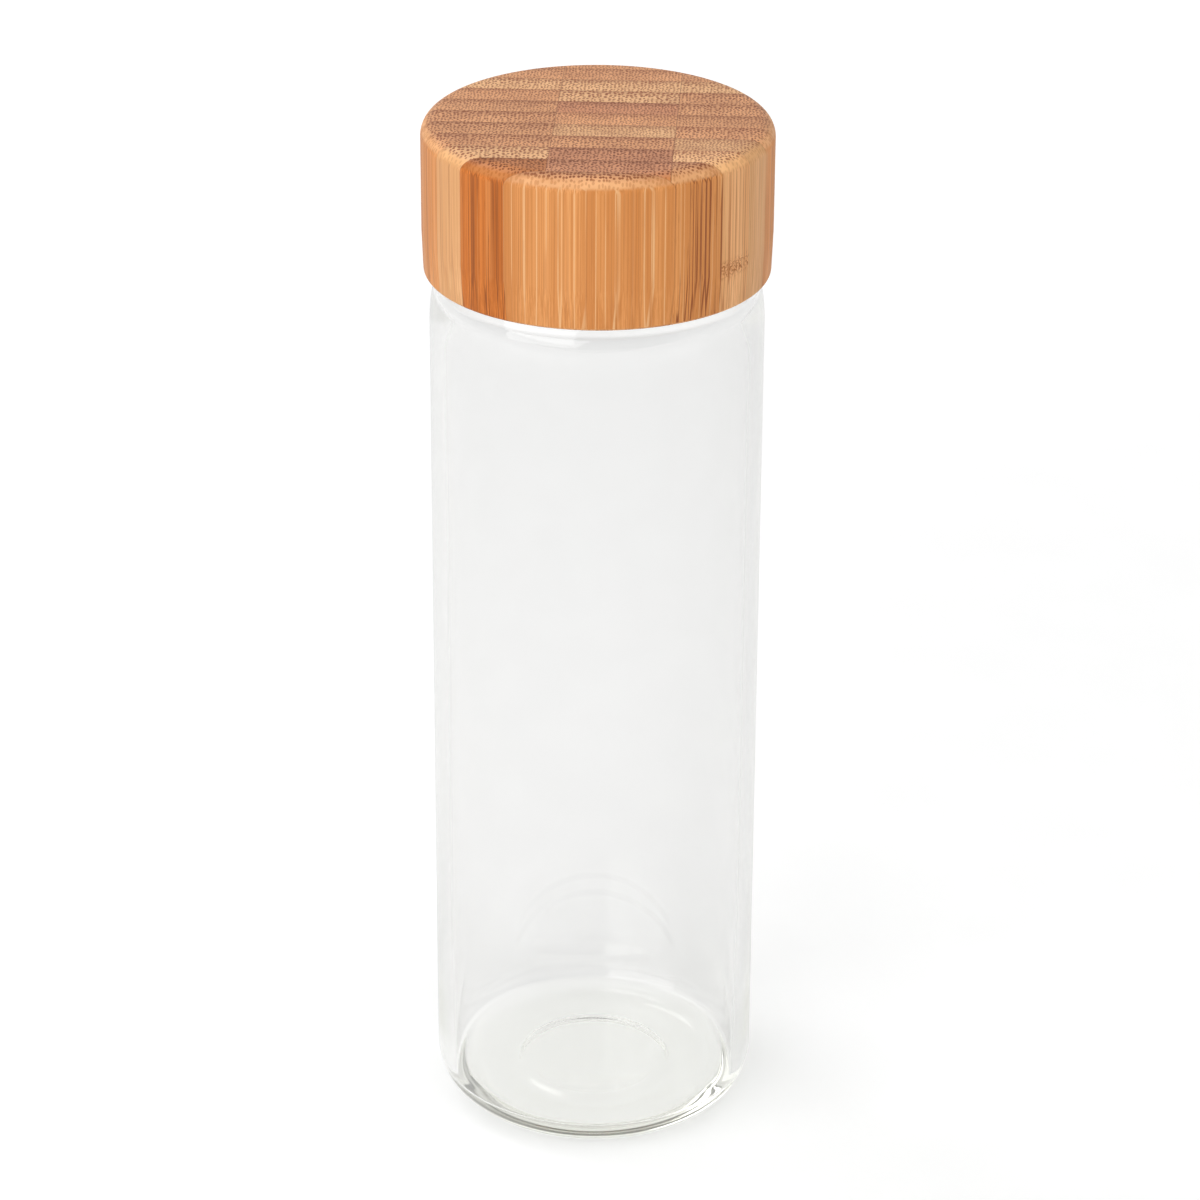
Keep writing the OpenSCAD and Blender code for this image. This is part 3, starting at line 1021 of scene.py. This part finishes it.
@dataclass(frozen=True)
class Softbox:
    """A rectangular lamp with a soft cover, aimed at the object."""

    name: str
    azimuth: float  # degrees round from the front, positive to the right
    elevation: float  # degrees above the floor
    away: float
    size: tuple[float, float]
    watts: float
    mirrored: bool = False  # whether gloss and glass show it

    def build(self, aim_z: float) -> None:
        """Makes the lamp.

        Args:
            aim_z: Height of the point on the axis that it is aimed at.
        """
        data = bpy.data.lights.new(self.name, "AREA")
        data.shape = "RECTANGLE"
        data.size, data.size_y = self.size[0] * MM, self.size[1] * MM
        data.energy = self.watts
        lamp = bpy.data.objects.new(self.name, data)
        a, e = math.radians(self.azimuth), math.radians(self.elevation)
        way = Vector((math.sin(a) * math.cos(e), -math.cos(a) * math.cos(e), math.sin(e)))
        lamp.location = (Vector((0.0, 0.0, aim_z)) + way * self.away) * MM
        lamp.rotation_mode = "QUATERNION"
        lamp.rotation_quaternion = way.to_track_quat("Z", "Y")
        lamp.visible_camera = False
        lamp.visible_glossy = lamp.visible_transmission = self.mirrored
        bpy.context.scene.collection.objects.link(lamp)


@dataclass
class Studio:
    """A pale floor, white surroundings, soft lamps and the camera."""

    floor_half: float = 3000.0
    floor_gap: float = 0.1  # the air under the base that lets its glass shine
    floor_colours: tuple[str, str] = ("#dcdcdc", "#dedede")
    floor_grain: Grain = Grain((40.0, 40.0, 40.0))
    floor_step: Step = Step(0.3, 0.7)
    # What the floor gives off by metres from the axis: to the camera, and through or off the glass.
    seen_glow: Step = Step(0.25, 0.9, 0.38, 0.55)
    glass_glow: Step = Step(0.022, 0.055, 0.5, 0.235)
    far_glow: Step = Step(0.45, 1.2, 0.0, 0.55)
    ambient: float = 0.325
    gloss_level: float = 0.75
    room_way: tuple[float, float, float] = (0.0, -0.9, 0.43)  # towards the darker part of the room
    room_step: Step = Step(0.3, 0.85, 1.0, 0.35)
    lamp_aim_z: float = 120.0
    # Each with its azimuth, elevation, distance, size and power.
    softboxes: tuple[Softbox, ...] = (
        Softbox("softbox_left", -40.0, 26.0, 1500.0, (1500.0, 1300.0), 14.5, mirrored=True),
        Softbox("softbox_right", 55.0, 22.0, 1500.0, (500.0, 1100.0), 5.5),
        Softbox("softbox_back", -121.0, 51.0, 1600.0, (800.0, 800.0), 7.8, mirrored=True),
        Softbox("softbox_top", 30.0, 75.0, 1700.0, (1200.0, 1200.0), 5.0),
    )
    camera_at: tuple[float, float, float] = (0.0, -870.7, 535.2)
    aim: tuple[float, float, float] = (0.0, 0.0, 118.96)
    lens: float = 134.72
    roll: float = 0.267
    shift_x: float = 0.0035

    def floor(self) -> None:
        """Makes the floor: painted board that stays white, and keeps the object's shadow."""
        m = Nodes(bpy.data.materials.new("white_painted_board"))
        path = m.add("LightPath")
        at = m.add("TexCoord")["Object"]
        share = m.add("MapRange", self.floor_grain.over(m, at)[0], *self.floor_step, **SMOOTHLY)[0]
        low, high = (linear(colour) for colour in self.floor_colours)
        paint = m.add("Mix", inputs={SHARE: share, UNDER: low, OVER: high}, **IN_COLOUR)[MIXED]
        board = m.add("BsdfDiffuse", paint)[0]
        away = m.add("VectorMath", at, operation="LENGTH")["Value"]
        white = m.add("MapRange", away, *self.seen_glow, **SMOOTHLY)[0]
        seen = m.add("Math", path["Is Camera Ray"], white, operation="MULTIPLY")[0]
        # The glass gathers light under its base, where its own shadow would be. A matt piece doesn't see it.
        clear = m.add("Math", path["Is Transmission Ray"], path["Is Glossy Ray"], operation="MAXIMUM")[0]
        plain = m.add("Math", path["Diffuse Depth"], 0.5, operation="LESS_THAN")[0]
        near = m.add("MapRange", away, *self.glass_glow, **SMOOTHLY)[0]
        far = m.add("MapRange", away, *self.far_glow, **SMOOTHLY)[0]
        glow = m.add("Math", near, far, operation="MAXIMUM")[0]
        clear = m.add("Math", clear, plain, operation="MULTIPLY")[0]
        through = m.add("Math", clear, glow, operation="MULTIPLY")[0]
        lift = m.add("Emission", inputs={"Strength": m.add("Math", seen, through)[0]})[0]
        m.add("OutputMaterial", m.add("AddShader", board, lift)[0])
        bm = bmesh.new()
        bmesh.ops.create_grid(bm, x_segments=1, y_segments=1, size=self.floor_half)
        bmesh.ops.translate(bm, verts=bm.verts[:], vec=(0.0, 0.0, -self.floor_gap))
        finished(bm, "floor", m.owner, sharp=30.0)

    def world(self) -> None:
        """Makes the white surroundings that the camera, gloss and glass see, and a plain ambient light."""
        world = bpy.data.worlds.new("studio")
        bpy.context.scene.world = world
        w = Nodes(world)
        path = w.add("LightPath")
        levels = {"To Min": self.ambient, "To Max": self.gloss_level}
        gloss = w.add("MapRange", path["Is Glossy Ray"], inputs=levels)[0]
        beyond = w.add("Math", path["Is Transmission Ray"], gloss, operation="MAXIMUM")[0]
        # The room is darker before the object than behind it, which draws the glass's edges.
        way = w.add("TexCoord")["Generated"]
        front = w.add("VectorMath", way, self.room_way, operation="DOT_PRODUCT")["Value"]
        shade = w.add("MapRange", front, *self.room_step, **SMOOTHLY)[0]
        beyond = w.add("Math", beyond, shade, operation="MULTIPLY")[0]
        shown = w.add("Math", path["Is Camera Ray"], beyond, operation="MAXIMUM")[0]
        # Light that a matt surface gathers through the glass stays at the plain level.
        plain = w.add("Math", path["Diffuse Depth"], 0.5, operation="LESS_THAN")[0]
        strength = w.add("MapRange", plain, inputs={"To Min": self.ambient, "To Max": shown})[0]
        w.add("OutputWorld", w.add("Background", WHITE, strength)[0])

    def camera(self) -> None:
        """Makes the camera, a long lens from above the front."""
        data = bpy.data.cameras.new("camera")
        data.lens = self.lens
        data.sensor_width = 36.0
        data.shift_x = self.shift_x
        data.clip_end = 20.0
        camera = bpy.data.objects.new("camera", data)
        at, aim = Vector(self.camera_at), Vector(self.aim)
        turn = (aim - at).to_track_quat("-Z", "Y").to_matrix().to_4x4()
        roll = Matrix.Rotation(math.radians(self.roll), 4, "Z")
        camera.matrix_world = Matrix.Translation(at * MM) @ turn @ roll
        bpy.context.scene.collection.objects.link(camera)
        bpy.context.scene.camera = camera

    def build(self) -> None:
        """Sets up the whole studio."""
        self.floor()
        self.world()
        for softbox in self.softboxes:
            softbox.build(self.lamp_aim_z)
        self.camera()
        bpy.context.scene.view_settings.view_transform = "Standard"


def main() -> None:
    """Builds the studio and the pieces in order, and writes how large they came out."""
    logging.basicConfig(level=logging.INFO, format="%(name)s: %(message)s")
    Studio().build()
    GlassBody().build(SodaLimeGlass().material())
    LinerAndSeal().build(Polypropylene().material(), Silicone().material())
    BambooLid().build(bamboo_shades())


if __name__ == "__main__":
    main()
